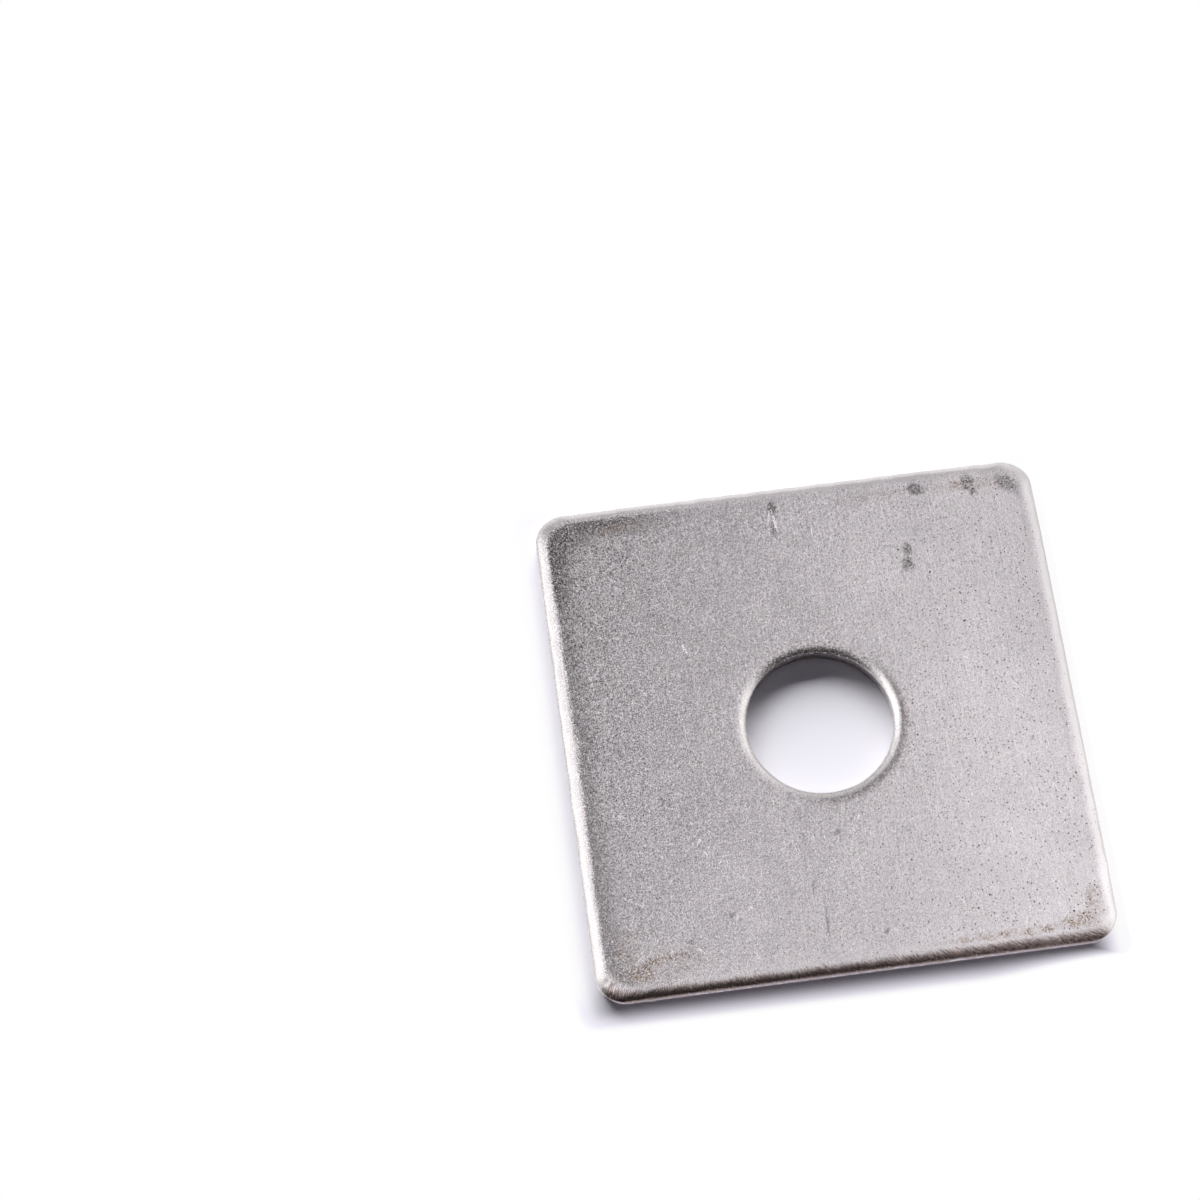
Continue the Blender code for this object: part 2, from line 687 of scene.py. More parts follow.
    def cut_rows(
        self,
        cut: CutEdge,
        waver: Unevenness,
        wider: np.ndarray,
        extra_depth: np.ndarray,
        whole: float,
    ) -> CutRows:
        """Work out one cut edge's rows.

        Along the roll the inset is width * (1 - sin a / sin e) and the drop is
        depth * (1 - cos a) / (1 - cos e), with a turning from 0 to e. The burnished band
        stands upright below it, and the torn wall leans in evenly down to the foot.

        Args:
            cut: the even section.
            waver: how far the edge strays from it.
            wider: how many times wider each column's roll is.
            extra_depth: what each column's roll is deeper by.
            whole: the edge's whole length.

        Returns:
            The rows, from the face down to the underside.
        """
        way, outline_length = self.way_round()
        way = way * (whole / outline_length)
        slow = Waves(5.0 * MM, 40.0 * MM, count=9, seed=waver.seed).along(way, whole)
        drift = Waves(2.0 * MM, 12.0 * MM, count=12, seed=waver.seed + 1).along(way, whole)
        quick = Waves(0.35 * MM, 1.2 * MM, count=40, seed=waver.seed + 2).along(way, whole)
        width = cut.roll_width * wider * (1.0 + waver.roll * slow)
        depth = (cut.roll_depth + extra_depth) * (1.0 + waver.roll * drift)
        band = cut.burnished * (1.0 + waver.band * drift + waver.jag * quick)

        turn = np.linspace(0.0, ROLL_END, self.roll_rows)[:, None]
        fall = (1.0 - np.cos(turn)) / (1.0 - math.cos(ROLL_END))
        roll_inset = width * (1.0 - np.sin(turn) / math.sin(ROLL_END))

        down = np.linspace(0.0, 1.0, self.band_rows)[1:, None]
        tear = np.linspace(0.0, 1.0, self.tear_rows)[1:, None]
        tear_top = self.thickness - depth - band
        tear_height = tear_top + (cut.foot - tear_top) * tear
        ragged = Waves(0.3 * MM, 1.5 * MM, count=60, seed=waver.seed + 3).over(way, tear_height)
        lumps = np.clip(0.5 + 0.5 * ragged, 0.0, 1.0) * np.sin(math.pi * tear)

        flat = np.zeros_like(way)
        tear_inset = cut.tear_lean * (tear + waver.lump * lumps)
        inset = np.vstack([roll_inset, flat + 0.0 * down, tear_inset, flat + cut.tear_lean + cut.foot])
        roll_height = self.thickness - depth * fall
        height = np.vstack([roll_height, self.thickness - depth - band * down, tear_height, flat])
        row = np.arange(len(inset))[:, None] + flat
        band_top = self.roll_rows - 1
        band_foot = band_top + len(down)
        return CutRows(
            inset=inset,
            height=height,
            roll=np.minimum(row / band_top, 1.0),
            band=1.0 * ((row >= band_top) & (row <= band_foot)),
            tear=1.0 * (row > band_foot),
        )

    def build(self) -> bpy.types.Object:
        """Make the skin as one closed ring of rows and columns.

        The rows run up the bolt hole's wall, over the face, down the outline's wall and back
        along the underside. A face row lies a share of the way from the hole's roll to the
        outline's roll, measured column by column.

        Returns:
            The skin's object.
        """
        corner = self.corner_share()
        way, whole = self.way_round()
        share, _, quarter = self.stations()
        wider = 1.0 + np.array(self.widening)[quarter] * np.cos(math.pi / 2.0 * share) ** 2
        outer = self.cut_rows(self.outer, self.outer_waver, wider, self.corner_extra[1] * corner, whole)
        even, bore_length = np.ones_like(corner), math.pi * self.bore_diameter
        inner = self.cut_rows(self.inner, self.inner_waver, even, 0.0 * even, bore_length)

        growth = self.corner_extra[0] / (math.sqrt(2.0) - 1.0)
        spread = growth * outer.inset / self.outer.roll_width * (outer.height > self.thickness / 2.0)
        outer_x, outer_y = self.outline(outer.inset, spread * (1.0 - outer.tear))
        heading = np.arctan2(outer_y[0], outer_x[0])
        radius = self.bore_diameter / 2.0 + inner.inset
        inner_x, inner_y = radius * np.cos(heading), radius * np.sin(heading)

        out = 0.5 - 0.5 * np.cos(math.pi * np.linspace(0.0, 1.0, self.face_rows + 2)[1:-1, None])
        back = np.linspace(0.0, 1.0, self.underside_rows + 2)[1:-1, None]

        def section(
            at_bore: np.ndarray, face: np.ndarray, at_rim: np.ndarray, under: np.ndarray
        ) -> np.ndarray:
            """Stack the rows as they follow one another round the section."""
            return np.vstack([at_bore[::-1], face, at_rim, under])

        def spanned(at_bore: np.ndarray, at_rim: np.ndarray) -> np.ndarray:
            """Fill the face and the underside evenly between the two cuts."""
            face = at_bore[0] + (at_rim[0] - at_bore[0]) * out
            return section(at_bore, face, at_rim, at_rim[-1] + (at_bore[-1] - at_rim[-1]) * back)

        level, under = (np.zeros((len(rows), len(even))) for rows in (out, back))
        z = section(inner.height, level + self.thickness, outer.height, under)
        points = np.stack([spanned(inner_x, outer_x), spanned(inner_y, outer_y), z], axis=-1)
        numbers = {
            name: section(getattr(inner, name), level, getattr(outer, name), under)
            for name in ("roll", "band", "tear")
        }
        land = self.side / 2.0 - self.bore_diameter / 2.0
        numbers["rim_gap"] = section(
            self.side / 2.0 + 0.0 * inner.inset,
            outer.inset[0] + land * (1.0 - out),
            outer.inset,
            outer.inset[-1] + land * back,
        )
        points = points - grid_normals(points) * self.relief(points, numbers, corner)[..., None]
        points[..., 2] = np.clip(points[..., 2], 0.0, self.thickness)
        return skin_object("washer_plate", points, way, whole, numbers)

    def relief(
        self, points: np.ndarray, numbers: dict[str, np.ndarray], corner: np.ndarray
    ) -> np.ndarray:
        """Work out how far each point is sunk into the metal.

        The face dips towards both rolls by depth * exp(-gap / length), twice as much at a
        corner, and is a little wavy all over. The burnished band is scored and each dent is
        depth * exp(-(distance / radius) squared).

        Args:
            points: the even skin, rows by columns by three.
            numbers: the numbers kept for the finish.
            corner: 1 at the corners and 0 along the sides, by column.

        Returns:
            The depths, rows by columns.
        """
        x, y, z = np.moveaxis(points, -1, 0)
        face = (1.0 - numbers["roll"] ** 3) * (z > self.thickness / 2.0)
        rim_gap = np.maximum(numbers["rim_gap"] - self.outer.roll_width, 0.0)
        bore_gap = np.maximum(np.hypot(x, y) - self.bore_diameter / 2.0 - self.inner.roll_width, 0.0)
        sink = face * self.tail_depth * (1.0 + corner) * np.exp(-rim_gap / self.tail_length)
        sink += face * self.bore_tail_depth * np.exp(-bore_gap / self.bore_tail_length)
        sink += self.ripple_depth * np.clip(1.0 + self.ripple.over(x, y), 0.0, 2.0)
        scores = np.clip(0.5 + 0.5 * self.scoring.along(*self.way_round()), 0.0, 1.0)
        sink += numbers["band"] * self.score_depth * scores
        for dent in self.dents:
            gap = np.linalg.norm(points - np.array(dent.at), axis=-1)
            sink += dent.depth * np.exp(-((gap / dent.radius) ** 2))
        return sink


def grid_normals(points: np.ndarray) -> np.ndarray:
    """Work out the normals of a closed skin, each as the cross product of its neighbours' steps.

    Args:
        points: rows by columns by three.

    Returns:
        The outward unit normal at each point.
    """
    down_rows = np.roll(points, -1, axis=0) - np.roll(points, 1, axis=0)
    round_columns = np.roll(points, -1, axis=1) - np.roll(points, 1, axis=1)
    normals = np.cross(down_rows, round_columns)
    return normals / np.maximum(np.linalg.norm(normals, axis=-1, keepdims=True), 1e-12)


def skin_object(
    name: str,
    points: np.ndarray,
    way: np.ndarray,
    whole: float,
    numbers: dict[str, np.ndarray],
) -> bpy.types.Object:
    """Make an object from a grid that closes on itself both ways.

    Args:
        name: the object's name.
        points: rows by columns by three.
        way: each column's distance round, which becomes the map's first coordinate.
        whole: the distance once round.
        numbers: point attributes, each rows by columns.

    Returns:
        The object, its place in its mesh.
    """
    rows, columns, _ = points.shape
    index = np.arange(rows * columns).reshape(rows, columns)
    beside = np.roll(index, -1, axis=1)
    below = np.roll(index, -1, axis=0)
    corner = np.roll(below, -1, axis=1)
    quads = np.stack([index, below, corner, beside], axis=-1).reshape(-1, 4)

    mesh = bpy.data.meshes.new(name)
    mesh.vertices.add(rows * columns)
    mesh.vertices.foreach_set("co", points.astype(np.float32).ravel())
    mesh.loops.add(quads.size)
    mesh.loops.foreach_set("vertex_index", quads.astype(np.int32).ravel())
    mesh.polygons.add(len(quads))
    mesh.polygons.foreach_set("loop_start", np.arange(0, quads.size, 4, dtype=np.int32))

    step = np.linalg.norm(np.roll(points, -1, axis=0) - points, axis=-1).mean(axis=1)
    down = np.cumsum(step) - step
    left = np.broadcast_to(way, (rows, columns))
    right = np.broadcast_to(np.append(way[1:], whole), (rows, columns))
    top = np.broadcast_to(down[:, None], (rows, columns))
    foot = np.broadcast_to((down + step)[:, None], (rows, columns))
    u = np.stack([left, left, right, right], axis=-1)
    v = np.stack([top, foot, foot, top], axis=-1)
    layer = mesh.uv_layers.new(name="wrap")
    layer.uv.foreach_set("vector", np.stack([u, v], axis=-1).astype(np.float32).ravel())
    for label, values in numbers.items():
        attribute = mesh.attributes.new(label, "FLOAT", "POINT")
        attribute.data.foreach_set("value", values.astype(np.float32).ravel())

    mesh.update(calc_edges=True)
    mesh.validate()
    mesh.shade_smooth()
    mesh.set_sharp_from_angle(angle=CREASE)
    made = bpy.data.objects.new(name, mesh)
    bpy.context.scene.collection.objects.link(made)
    return made


# Finish


class MarkKind(Enum):
    """What a mark on the face is."""

    SMUDGE = "dark dirt rubbed into the skin"
    STAIN = "brown tarnish"
    SCRATCH = "bright line through the tumbled skin"
    HAIRLINE = "fine dark line"


@dataclass(frozen=True)
class Mark:
    """One mark on the upper face: a long oval, in millimetres and degrees.

    Attributes:
        x: its middle.
        y: its middle.
        length: its whole length.
        width: its whole width.
        turn: its length's angle from +X, counterclockwise.
        strength: how strong it is, from 0 to 1.
    """

    x: float
    y: float
    length: float
    width: float
    turn: float
    strength: float


MARKS: dict[MarkKind, tuple[Mark, ...]] = {
    MarkKind.SMUDGE: (
        Mark(-1.3, 22.7, 2.6, 1.5, 84.0, 0.85),
        Mark(-1.4, 20.4, 3.0, 0.9, 97.0, 0.8),
        Mark(11.4, 16.7, 2.6, 1.3, 96.0, 0.9),
        Mark(11.2, 15.1, 2.8, 1.9, 94.0, 1.0),
        Mark(13.3, 22.9, 2.8, 2.3, -20.0, 0.9),
        Mark(18.5, 23.0, 3.2, 2.4, 80.0, 0.9),
        Mark(18.9, 21.9, 1.8, 1.4, 80.0, 0.7),
        Mark(22.4, 22.4, 4.4, 2.7, -38.0, 0.8),
        Mark(23.2, 21.2, 3.4, 1.8, -60.0, 0.35),
    ),
    MarkKind.STAIN: (
        Mark(18.8, 22.7, 9.0, 1.6, -2.0, 1.0),
        Mark(9.0, 22.7, 11.0, 1.2, 1.0, 0.5),
        Mark(-18.6, -22.3, 12.0, 3.6, 4.0, 1.0),
        Mark(-21.6, -20.2, 6.0, 3.0, 100.0, 0.9),
        Mark(15.0, -23.4, 22.0, 1.2, 0.8, 1.0),
        Mark(21.4, -22.8, 7.0, 1.7, 12.0, 1.0),
        Mark(22.9, -21.2, 4.2, 2.2, 80.0, 0.8),
        Mark(-16.5, 22.7, 12.0, 1.6, 1.0, 0.45),
    ),
    MarkKind.SCRATCH: (
        Mark(-1.2, 21.4, 3.8, 0.22, 95.0, 1.0),
        Mark(-1.7, 21.8, 2.2, 0.16, 78.0, 0.8),
        Mark(-21.5, 7.0, 5.6, 0.14, 100.0, 0.3),
        Mark(-12.0, 9.0, 1.6, 0.18, 110.0, 0.9),
        Mark(-10.9, 11.2, 1.0, 0.16, 130.0, 0.8),
        Mark(-16.5, 5.0, 0.9, 0.2, 115.0, 0.9),
        Mark(-18.9, 5.7, 6.5, 0.16, 207.0, 0.8),
        Mark(-17.2, 4.6, 4.4, 0.14, 200.0, 0.6),
        Mark(-13.4, -10.6, 1.2, 0.24, 60.0, 0.9),
        Mark(-12.9, -11.9, 0.9, 0.18, 110.0, 0.7),
        Mark(-5.3, -12.2, 1.3, 0.2, 40.0, 0.8),
        Mark(-14.6, -21.3, 1.5, 0.2, -50.0, 0.9),
        Mark(-9.5, -17.8, 0.9, 0.24, 50.0, 0.9),
        Mark(-19.8, -17.2, 1.2, 0.16, 15.0, 0.7),
        Mark(2.1, -10.2, 1.0, 0.3, 60.0, 0.9),
        Mark(-4.0, -0.6, 1.6, 0.14, 95.0, 0.5),
    ),
    MarkKind.HAIRLINE: (
        Mark(-3.3, -16.4, 3.0, 0.26, 88.0, 0.8),
        Mark(-2.5, -19.9, 4.6, 0.32, 90.0, 0.9),
        Mark(-0.1, -11.5, 1.2, 0.7, 40.0, 0.8),
        Mark(5.4, -13.0, 4.0, 0.3, 86.0, 0.4),
        Mark(-11.4, -18.3, 0.9, 0.7, 60.0, 0.9),
        Mark(-11.2, -16.6, 1.0, 0.4, 10.0, 0.8),
        Mark(2.9, -21.6, 0.8, 0.6, 60.0, 0.9),
        Mark(-15.6, -20.3, 1.2, 0.5, -20.0, 0.7),
    ),
}

# Where the films, painted shade and painted highlight lie
NEAR_SIDE = (Ramp(-20.0, -23.5, y=1.0), Ramp(0.3, -2.0, x=1.0, y=1.0), Ramp(1.5, -0.5, x=-1.0, y=1.0))
LEFT_SIDE = (Ramp(-20.0, -22.6, x=1.0),)
FAR_LEFT_CORNER = (Ramp(29.0, 43.0, x=-1.0, y=1.0),)

# How bold the grain is beside its boldest, at the far left
GRAIN_ZONES = (
    Zone(0.4375, (Ramp(-26.0, -5.0, x=1.0),)),
    Zone(0.45, (Ramp(-5.0, 12.0, x=1.0),)),
    Zone(1.2, (Ramp(20.0, 40.0, x=-1.0, y=1.0),)),
    Zone(0.68, (Ramp(-14.0, -25.0, x=0.5, y=1.0),)),
)

# Painted light and shade: where the metal's colour is made brighter or darker as light falls on it
LIGHT_AND_SHADE_ZONES = (
    # Painted shade on the face's left and painted light on its right, painted shade on its strip at the
    # right side and in its far right corner
    Zone(0.96, (Ramp(-10.0, -20.0, x=1.0),)),
    Zone(1.14, (Ramp(-2.0, 20.0, x=1.0),)),
    Zone(0.93, (Ramp(19.0, 23.5, x=1.0),)),
    Zone(0.90, (Ramp(18.0, 34.0, x=1.0, y=1.0),)),
    # Painted light in front of the bolt hole at the left, and behind it
    Zone(1.04, (Ramp(0.0, -8.0, x=1.0), Ramp(-8.0, -16.0, y=1.0))),
    Zone(1.06, (Ramp(-6.0, 2.0, x=1.0), Ramp(16.0, 8.0, x=1.0), Ramp(9.0, 17.0, y=1.0))),
    # A painted highlight on the near right corner, and painted shade along the left and right sides
    Zone(1.12, (Ramp(22.6, 23.8, x=1.0), Ramp(-14.0, -21.0, y=1.0))),
    Zone(0.95, (Ramp(-22.8, -23.6, x=1.0),)),
    Zone(0.95, (Ramp(22.8, 23.6, x=1.0),)),
    # Painted light along the far side, brighter towards the left
    Zone(1.13, (Ramp(23.5, 24.2, y=1.0), Ramp(12.0, -4.0, x=1.0, least=0.45))),
)


class Surface:
    """What the finish reads all over the washer.

    Attributes:
        graph: the material's nodes.
        spot: place on the washer.
        shaken: the same, ruffled, so that a mark's outline is uneven.
        slant: the same for the grain, which runs a little aslant.
        lit: the same, moved and stretched, for what doesn't fall in with the pits.
        x: place along X.
        y: place along Y.
        z: height.
        bore: distance from the bolt hole's axis.
        in_bore: 1 round the bolt hole's cut and 0 elsewhere.
        roll: how far down a roll, as the skin says.
        band: 1 on a burnished band.
        tear: 1 on a torn wall.
        rim_gap: distance in from the outline.
        rubbed: 1 on the edges that tumbling has rubbed bright.
        near_side: 1 along the near side.
        fine: the finest grain.
        middle: grain about twice as large.
        grit: grain with hard edges, from 0 to 1.
        streak: streaks along the sheet's rolling direction.
        comb: streaks that run aslant down a cut edge.
        flecks: round spots that the dark films and painted shade leave out, so that bright specks show
            in them.
        pits: small dark pits, stronger towards the right.
        marks: each kind of mark's mask.
    """

    def __init__(self, graph: Graph, grain: float) -> None:
        """Add the nodes that are read more than once.

        Args:
            graph: the material's nodes.
            grain: size of the finest grain.
        """
        self.graph = graph
        self.spot = graph.place_on_object()
        self.x, self.y, self.z = graph.axes(self.spot)
        self.bore = graph.measure("LENGTH", graph.combine("MULTIPLY", self.spot, FLAT))
        self.in_bore = self.bore.ease(9.0 * MM, 8.9 * MM)
        self.roll, self.band = graph.attribute("roll"), graph.attribute("band")
        self.tear, self.rim_gap = graph.attribute("tear"), graph.attribute("rim_gap")
        self.rubbed = self.roll.ease(0.15, 0.8)
        self.near_side = within(NEAR_SIDE, self.x, self.y)

        self.slant = graph.place(self.spot, turn=(0.0, 0.0, math.radians(14.0)), size=(1.0, 1.15, 1.0))
        self.fine = graph.noise(self.slant, grain, detail=1.0, roughness=0.6)
        self.middle = graph.noise(self.slant, 2.2 * grain, detail=2.0, roughness=0.65)
        self.grit = graph.noise(self.slant, 1.5 * grain, detail=1.0, roughness=0.5).ease(-0.2, 0.15)
        rolled = graph.place(self.spot, size=(0.35, 5.0, 1.0))
        self.streak = graph.noise(rolled, 1.0 * MM, detail=3.0, roughness=0.6)
        wrap = graph.node("ShaderNodeUVMap", {"uv_map": "wrap"}).outputs["UV"]
        aslant = graph.place(wrap, turn=(0.0, 0.0, math.radians(-28.0)), size=(0.13, 0.8, 1.0))
        self.comb = graph.noise(aslant, 1.0 * MM, detail=2.0, roughness=0.6)

        self.lit = graph.place(self.spot, at=(0.0, 0.1, 0.0), size=(1.0, 1.3, 1.0))
        self.flecks = graph.specks(self.lit, 0.42 * MM, share=0.55, core=0.10, edge=0.36)
        apart = graph.place(self.spot, at=(0.1, 0.0, 0.0))
        small = graph.specks(self.spot, 0.40 * MM, share=0.50, core=0.08, edge=0.27)
        large = graph.specks(apart, 1.3 * MM, share=0.25, core=0.05, edge=0.11)
        thick = self.x.ease(-8.0 * MM, 14.0 * MM, 0.6, 1.15) * self.roll.ease(0.1, 0.4, 1.0, 0.3)
        self.pits = small.most(large) * thick

        ruffle = graph.node("ShaderNodeTexNoise", {}, {"Vector": self.spot, "Scale": 1.0 / (0.6 * MM)})
        centred = graph.combine("SUBTRACT", ruffle.outputs["Color"], HALF)
        self.shaken = graph.combine("MULTIPLY_ADD", centred, (0.7 * MM, 0.7 * MM, 0.0), self.spot)
        self.marks = self.broken_marks()

    def marks_of(self, kind: MarkKind) -> Field:
        """Join all marks of one kind.

        A mark is its strength at its middle and fades to 0 at its oval's edge, and where two
        overlap the stronger counts.

        Args:
            kind: the kind of mark.

        Returns:
            The marks' mask.
        """
        vector = self.spot if kind is MarkKind.SCRATCH else self.shaken
        core = 0.0 if kind is MarkKind.SMUDGE else 0.35
        masks = []
        for mark in MARKS[kind]:
            near = self.graph.place(
                vector,
                at=(mark.x * MM, mark.y * MM, 0.0),
                turn=(0.0, 0.0, math.radians(mark.turn)),
                size=(mark.length / 2.0 * MM, mark.width / 2.0 * MM, 1.0),
            )
            masks.append(self.graph.measure("LENGTH", near).ease(1.0, core, 0.0, mark.strength))
        return reduce(Field.most, masks)

    def broken_marks(self) -> dict[MarkKind, Field]:
        """Break the marks up by the grain and keep them off the underside.

        Returns:
            Each kind's mask.
        """
        upper = self.z.ease(1.0 * MM, 1.2 * MM)
        clots = self.graph.noise(self.spot, 1.5 * MM, detail=1.0, roughness=0.5).ease(-0.15, 0.2)
        speckle = (0.6 * self.fine + 0.9 * self.middle).ease(-0.35, 0.45)
        masks = {kind: self.marks_of(kind) for kind in MarkKind}
        masks[MarkKind.SMUDGE] = masks[MarkKind.SMUDGE].ease(0.05, 0.65) * (0.22 + 0.78 * self.grit)
        masks[MarkKind.STAIN] *= (0.05 + 0.95 * self.grit) * (0.3 + 0.7 * clots)
        masks[MarkKind.SCRATCH] *= 0.6 + 0.4 * speckle
        return {kind: mask * upper for kind, mask in masks.items()}


@dataclass
class FilmsAndPaintedLight:
    """Masks of what lies on the metal along its edges: films, painted shade and a painted highlight.

    Attributes:
        rust_and_shade: thin brown film on the near side's roll, darkened as painted shade.
        painted_shade: painted shade under it, on the burnished band and at the foot.
        painted_highlight: painted highlight, a thin bright line along the near side's torn wall.
        bore: painted shade on the bolt hole's far roll and wall.
        ring: painted shade, a dark line round the bolt hole's roll, at the near right.
        grime_and_shade: dirt and painted shade inside the left side's roll and in the far left corner.
    """

    rust_and_shade: Field
    painted_shade: Field
    painted_highlight: Field
    bore: Field
    ring: Field
    grime_and_shade: Field


@dataclass(frozen=True)
class TumbledStainless:
    """Finish of the washer: matt grey stainless with its marks, and painted light and shade.

    Attributes:
        metal: colour of the tumbled skin.
        rubbed: colour of the edges that tumbling has rubbed bright.
        polished: colour of the bolt hole's rolled edge, which wears brightest.
        dirt: colour of a smudge, and of the dirt and painted shade inside the left side's roll and far
            left corner.
        tarnish: colour of a stain.
        rust_and_shade: colour of the thin brown film on the near side's roll, darkened as painted shade.
        painted_shade: colour of the painted shade under it, and of the painted shade round the bolt
            hole.
        painted_highlight: colour of the painted highlight, a thin bright line along the near side's torn
            wall.
        roughness: roughness of the tumbled skin.
        grain: size of the finest grain.
        boldest: strength of the grain at the far left, where it is boldest.
        facet: size of the small flats that tumbling leaves.
        facet_tilt: how strongly they are tilted.
        highlight_foot: heights between which the painted highlight begins, over the painted shade at the
            foot.
        highlight_top: heights between which it ends, under the brown film and the painted shade.
        bore_shade: distances from the bolt hole's axis between which its painted shade thickens.
        bore_shade_back: places along Y between which that painted shade begins.
        bore_tear_back: the same on the bolt hole's torn wall.
        ring_inside: distances from the axis between which the painted shade line round it begins.
        ring_outside: distances between which it ends, inwards.
        ring_right: distances to the near right between which it begins.
        grime_shade_left: distances from the outline, inwards, between which the left side's begins.
        grime_shade_corner: the same in the far left corner.
    """

    metal: Colour = (0.675, 0.63, 0.657, 1.0)
    rubbed: Colour = (0.69, 0.655, 0.655, 1.0)
    polished: Colour = (0.77, 0.74, 0.73, 1.0)
    dirt: Colour = (0.12, 0.11, 0.11, 1.0)
    tarnish: Colour = (0.33, 0.25, 0.20, 1.0)
    rust_and_shade: Colour = (0.38, 0.27, 0.255, 1.0)
    painted_shade: Colour = (0.135, 0.098, 0.092, 1.0)
    painted_highlight: Colour = (0.82, 0.89, 0.89, 1.0)
    roughness: float = 0.27
    grain: float = 0.105 * MM
    boldest: float = 3.2
    facet: float = 0.105 * MM
    facet_tilt: float = 0.17
    highlight_foot: Pair = (0.50 * MM, 0.60 * MM)
    highlight_top: Pair = (0.66 * MM, 0.78 * MM)
    bore_shade: Pair = (8.3 * MM, 7.5 * MM)
    bore_shade_back: Pair = (3.6 * MM, 6.6 * MM)
    bore_tear_back: Pair = (2.0 * MM, 5.0 * MM)
    ring_inside: Pair = (7.75 * MM, 8.05 * MM)
    ring_outside: Pair = (8.8 * MM, 8.2 * MM)
    ring_right: Pair = (1.5 * MM, 7.0 * MM)
    grime_shade_left: Pair = (4.2 * MM, 1.6 * MM)
    grime_shade_corner: Pair = (4.6 * MM, 1.8 * MM)

    def films(self, skin: Surface) -> FilmsAndPaintedLight:
        """Place the films, painted shade and painted highlight along the edges.

        Args:
            skin: what is read from the washer.

        Returns:
            The films' masks.
        """
        x, y, z, roll, tear = skin.x, skin.y, skin.z, skin.roll, skin.tear
        above = (z + 0.04 * MM * skin.comb).ease(*self.highlight_top)
        # Painted shade on the near side's steep roll and burnished band, and at the foot of its torn
        # wall
        painted_shade = (roll + 0.4 * skin.comb).ease(0.68, 1.04) * above * (1.0 - 0.75 * skin.flecks)
        # Painted shade on the bolt hole's far roll and wall
        bore = (skin.bore + 1.0 * MM * skin.middle).ease(*self.bore_shade) * y.ease(*self.bore_shade_back)
        bore = bore * (0.3 + 0.65 * skin.grit) * z.ease(1.82 * MM, 1.92 * MM, 0.38, 1.0)
        # Painted shade: a dark line round the bolt hole's roll at the near right, where the face dips
        ring = skin.bore.ease(*self.ring_inside) * skin.bore.ease(*self.ring_outside)
        # Dirt and painted shade inside the left side's roll and in the far left corner
        left = within(LEFT_SIDE, x, y) * skin.rim_gap.ease(*self.grime_shade_left)
        corner = within(FAR_LEFT_CORNER, x, y) * skin.rim_gap.ease(*self.grime_shade_corner)
        grime_and_shade = (0.66 * left).most(1.2 * corner) * roll.ease(0.3, 0.1)
        return FilmsAndPaintedLight(
            # Brown film on the near side's roll, darkened as painted shade
            rust_and_shade=(roll + 0.7 * skin.comb).ease(0.34, 0.54) * skin.near_side * above,
            painted_shade=painted_shade.most(tear * z.ease(*reversed(self.highlight_foot))) * skin.near_side,
            # Painted highlight: a thin bright line along the near side's torn wall
            painted_highlight=tear * skin.near_side * z.ease(*self.highlight_foot) * z.ease(*reversed(self.highlight_top)),
            bore=bore.most(tear * skin.in_bore * y.ease(*self.bore_tear_back)),
            ring=ring * (x - 0.7 * y).ease(*self.ring_right) * (0.3 + 0.7 * skin.grit),
            grime_and_shade=grime_and_shade * (0.35 + 0.65 * skin.grit) * (1.0 - 0.95 * skin.flecks),
        )

    def tone(self, skin: Surface) -> Field:
        """Work out how bright the metal is.

        Args:
            skin: what is read from the washer.

        Returns:
            The brightness about 1, which is (1 + bold * grain + mottling + streaks) * (1 - pits)
            + bold * (painted glint specks + fine scratches), times the painted light and shade
            graded over the face, with its hairlines dark and its scratches bright.
        """
        graph = skin.graph
        bold = graded(self.boldest, GRAIN_ZONES, skin.x, skin.y) * skin.roll.ease(0.1, 0.5, 1.0, 0.22)
        mottle = graph.noise(skin.spot, 4.5 * MM, detail=3.0, roughness=0.55)
        # Painted glint specks: small bright spots laid into the colour
        painted_glints = graph.specks(skin.lit, 0.7 * MM, share=0.22, core=0.08, edge=0.2)
        long = graph.hairs(skin.spot, 2.1 * MM, share=0.40, length=1.5 * MM, width=0.13 * MM)
        short = graph.hairs(skin.lit, 1.2 * MM, share=0.30, length=0.7 * MM, width=0.12 * MM)
        tone = 1.0 + bold * (0.60 * skin.fine + 0.20 * skin.middle) + 0.12 * mottle + 0.08 * skin.streak
        tone = tone * (1.0 - 0.80 * skin.pits) + bold * (0.18 * painted_glints + 0.24 * long.most(short))
        # Painted light and shade graded over the face
        tone = graded(tone, LIGHT_AND_SHADE_ZONES, skin.x, skin.y)
        return tone * (1.0 - 0.45 * skin.marks[MarkKind.HAIRLINE]) + 0.5 * skin.marks[MarkKind.SCRATCH]

    def colour(self, skin: Surface, films: FilmsAndPaintedLight) -> bpy.types.NodeSocket:
        """Lay the films, painted shade, painted highlight and marks over the metal, one after another.

        Args:
            skin: what is read from the washer.
            films: the films' masks.

        Returns:
            The socket of the colour.
        """
        layers = (
            (skin.rubbed, self.rubbed),
            (skin.roll.ease(0.15, 0.6) * skin.in_bore, self.polished),
            # Brown film with painted shade, painted shade, a painted highlight, painted shade round the
            # bolt hole, then dirt and painted shade
            (0.85 * films.rust_and_shade, self.rust_and_shade),
            (0.85 * films.painted_shade, self.painted_shade),
            (films.painted_highlight, self.painted_highlight),
            ((0.85 * films.bore).most(0.65 * films.ring), self.painted_shade),
            (films.grime_and_shade, self.dirt),
            (skin.marks[MarkKind.STAIN], self.tarnish),
            (0.85 * skin.marks[MarkKind.SMUDGE], self.dirt),
        )
        colour: object = self.metal
        for share, paint in layers:
            colour = skin.graph.tint(share, colour, paint)
        return skin.graph.tint(1.0, colour, skin.graph.grey(self.tone(skin)), "MULTIPLY")

